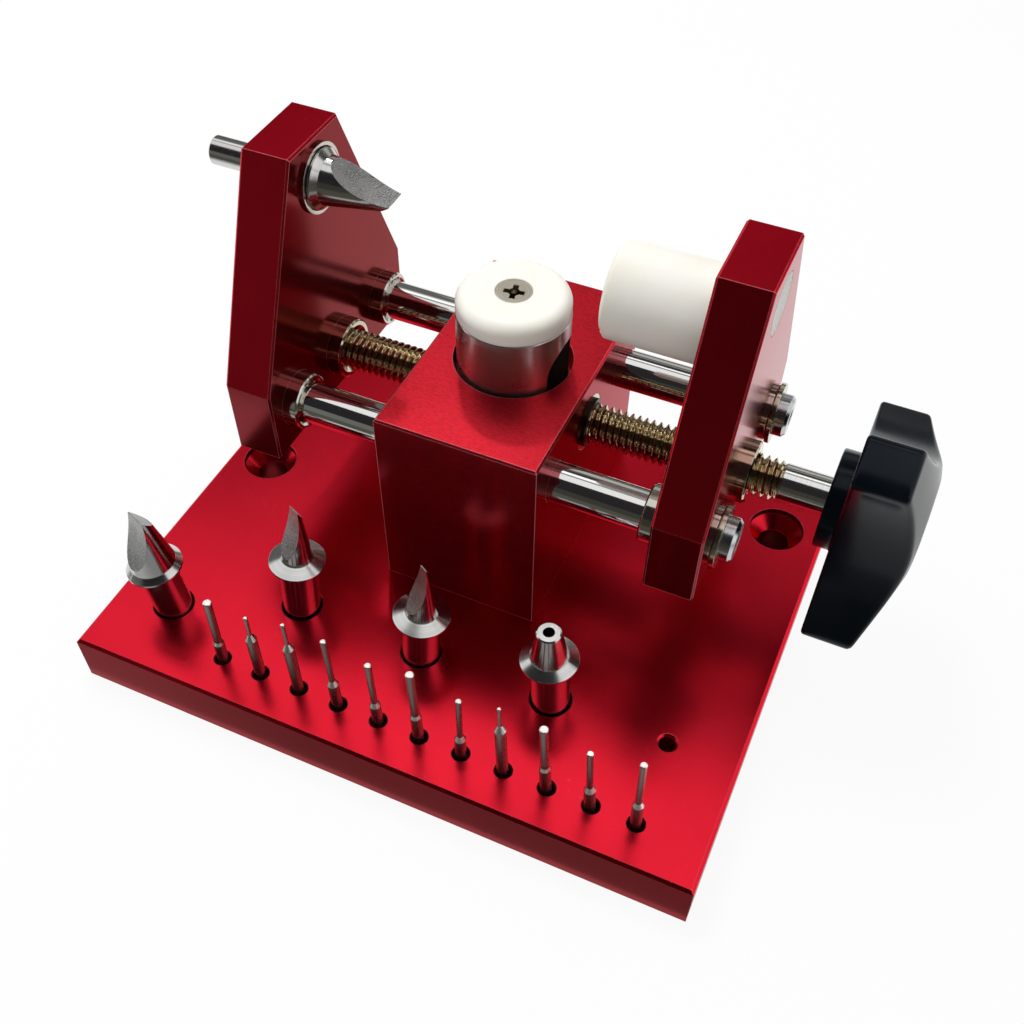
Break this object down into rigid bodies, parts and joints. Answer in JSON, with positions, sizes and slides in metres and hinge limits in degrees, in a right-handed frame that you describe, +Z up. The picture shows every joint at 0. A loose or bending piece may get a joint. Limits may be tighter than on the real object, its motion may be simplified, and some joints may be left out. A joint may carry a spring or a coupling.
{
  "type": "watch bench tool",
  "caption": "Bench tool for watch bracelets and backs: a screw closes two arms, one with a blade and one with a nylon jaw, over a sprung post; spare tips and punch pins stand in the base.",
  "frame": {"origin": "middle of the base plate's underside", "axes": "+X along the guide rods towards the knob, +Y from the pin row towards the block, +Z up"},
  "size_m": [0.18, 0.125, 0.1128],
  "materials": {
    "red_anodised": "deep red anodised, satin gloss",
    "rod_steel": "ground and polished",
    "tip_steel": "turned bright, hollow-ground faces matt",
    "pin_steel": "drawn and turned bright",
    "screw_steel": "nickel-bright threads",
    "bush_metal": "turned",
    "nut_brass": "turned",
    "post_steel": "dark satin",
    "dark_steel": "black oxide",
    "nylon": "smooth off-white",
    "black_plastic": "black satin gloss"
  },
  "bodies": {
    "frame": {"base_plate": "red_anodised", "centre_block": "red_anodised", "block_screws": "dark_steel", "guide_rod_front": "rod_steel", "guide_rod_rear": "rod_steel", "rod_set_screws": "dark_steel", "rod_end_washers": "bush_metal", "rod_end_screws": "bush_metal", "screw_bush_left": "nut_brass", "screw_bush_right": "nut_brass", "post_spring": "dark_steel"},
    "left_arm": {"left_arm": "red_anodised", "left_bush_front": "bush_metal", "left_bush_rear": "bush_metal", "left_nut": "nut_brass", "blade_bush": "bush_metal"},
    "right_arm": {"right_arm": "red_anodised", "right_bush_front": "bush_metal", "right_bush_rear": "bush_metal", "right_nut": "nut_brass", "jaw": "nylon"},
    "drive": {"leadscrew": "screw_steel", "retaining_rings": "dark_steel", "knob": "black_plastic", "knob_insert": "nut_brass"},
    "post": {"support_post": "post_steel", "cap": "nylon", "cap_screw": "bush_metal"},
    "mounted_blade": {"mounted_blade": "tip_steel"},
    "wide_blade": {"wide_blade": "tip_steel"},
    "narrow_blade": {"narrow_blade": "tip_steel"},
    "fine_blade": {"fine_blade": "tip_steel"},
    "pin_holder": {"pin_holder": "tip_steel"},
    "pin_1": {"pin_1": "pin_steel"},
    "pin_2": {"pin_2": "pin_steel"},
    "pin_3": {"pin_3": "pin_steel"},
    "pin_4": {"pin_4": "pin_steel"},
    "pin_5": {"pin_5": "pin_steel"},
    "pin_6": {"pin_6": "pin_steel"},
    "pin_7": {"pin_7": "pin_steel"},
    "pin_8": {"pin_8": "pin_steel"},
    "pin_9": {"pin_9": "pin_steel"},
    "pin_10": {"pin_10": "pin_steel"},
    "pin_11": {"pin_11": "pin_steel"}
  },
  "joints": [
    {"name": "knob_turn", "type": "hinge", "parent": "frame", "child": "drive", "pos_m": [0, 0.0217, 0.055], "axis": [1, 0, 0], "range_deg": [0, 1954]},
    {"name": "left_arm_slide", "type": "slide", "parent": "frame", "child": "left_arm", "axis": [1, 0, 0], "range_m": [0, 0.0095]},
    {"name": "right_arm_slide", "type": "slide", "parent": "frame", "child": "right_arm", "axis": [-1, 0, 0], "range_m": [0, 0.0095]},
    {"name": "post_press", "type": "slide", "parent": "frame", "child": "post", "axis": [0, 0, -1], "range_m": [0, 0.0138], "stiffness_N_per_m": 600, "springref_m": -0.004, "deforming": ["post_spring"]},
    {"name": "blade_pull", "type": "slide", "parent": "left_arm", "child": "mounted_blade", "axis": [1, 0, 0], "range_m": [0, 0.03]},
    {"name": "wide_blade_lift", "type": "slide", "parent": "frame", "child": "wide_blade", "axis": [-0.0871, -0.0349, 0.9956], "range_m": [0, 0.02]},
    {"name": "narrow_blade_lift", "type": "slide", "parent": "frame", "child": "narrow_blade", "axis": [0.0453, 0.0419, 0.9981], "range_m": [0, 0.02]},
    {"name": "fine_blade_lift", "type": "slide", "parent": "frame", "child": "fine_blade", "axis": [0.0593, 0.0105, 0.9982], "range_m": [0, 0.02]},
    {"name": "pin_holder_lift", "type": "slide", "parent": "frame", "child": "pin_holder", "axis": [-0.0419, -0.0209, 0.9989], "range_m": [0, 0.02]},
    {"name": "pin_1_lift", "type": "slide", "parent": "frame", "child": "pin_1", "axis": [0.0192, 0, 0.9998], "range_m": [0, 0.02]},
    {"name": "pin_2_lift", "type": "slide", "parent": "frame", "child": "pin_2", "axis": [0, 0, 1], "range_m": [0, 0.02]},
    {"name": "pin_3_lift", "type": "slide", "parent": "frame", "child": "pin_3", "axis": [-0.014, 0, 0.9999], "range_m": [0, 0.02]},
    {"name": "pin_4_lift", "type": "slide", "parent": "frame", "child": "pin_4", "axis": [-0.0279, 0, 0.9996], "range_m": [0, 0.02]},
    {"name": "pin_5_lift", "type": "slide", "parent": "frame", "child": "pin_5", "axis": [-0.0244, 0, 0.9997], "range_m": [0, 0.02]},
    {"name": "pin_6_lift", "type": "slide", "parent": "frame", "child": "pin_6", "axis": [-0.0279, 0, 0.9996], "range_m": [0, 0.02]},
    {"name": "pin_7_lift", "type": "slide", "parent": "frame", "child": "pin_7", "axis": [0, 0, 1], "range_m": [0, 0.02]},
    {"name": "pin_8_lift", "type": "slide", "parent": "frame", "child": "pin_8", "axis": [-0.0349, 0, 0.9994], "range_m": [0, 0.02]},
    {"name": "pin_9_lift", "type": "slide", "parent": "frame", "child": "pin_9", "axis": [-0.0489, 0, 0.9988], "range_m": [0, 0.02]},
    {"name": "pin_10_lift", "type": "slide", "parent": "frame", "child": "pin_10", "axis": [-0.0558, 0, 0.9984], "range_m": [0, 0.02]},
    {"name": "pin_11_lift", "type": "slide", "parent": "frame", "child": "pin_11", "axis": [-0.0244, 0, 0.9997], "range_m": [0, 0.02]}
  ],
  "couplings": [
    {"joint": "left_arm_slide", "follows": "knob_turn", "m_per_rad": 0.00027852},
    {"joint": "right_arm_slide", "follows": "knob_turn", "m_per_rad": 0.00027852}
  ]
}
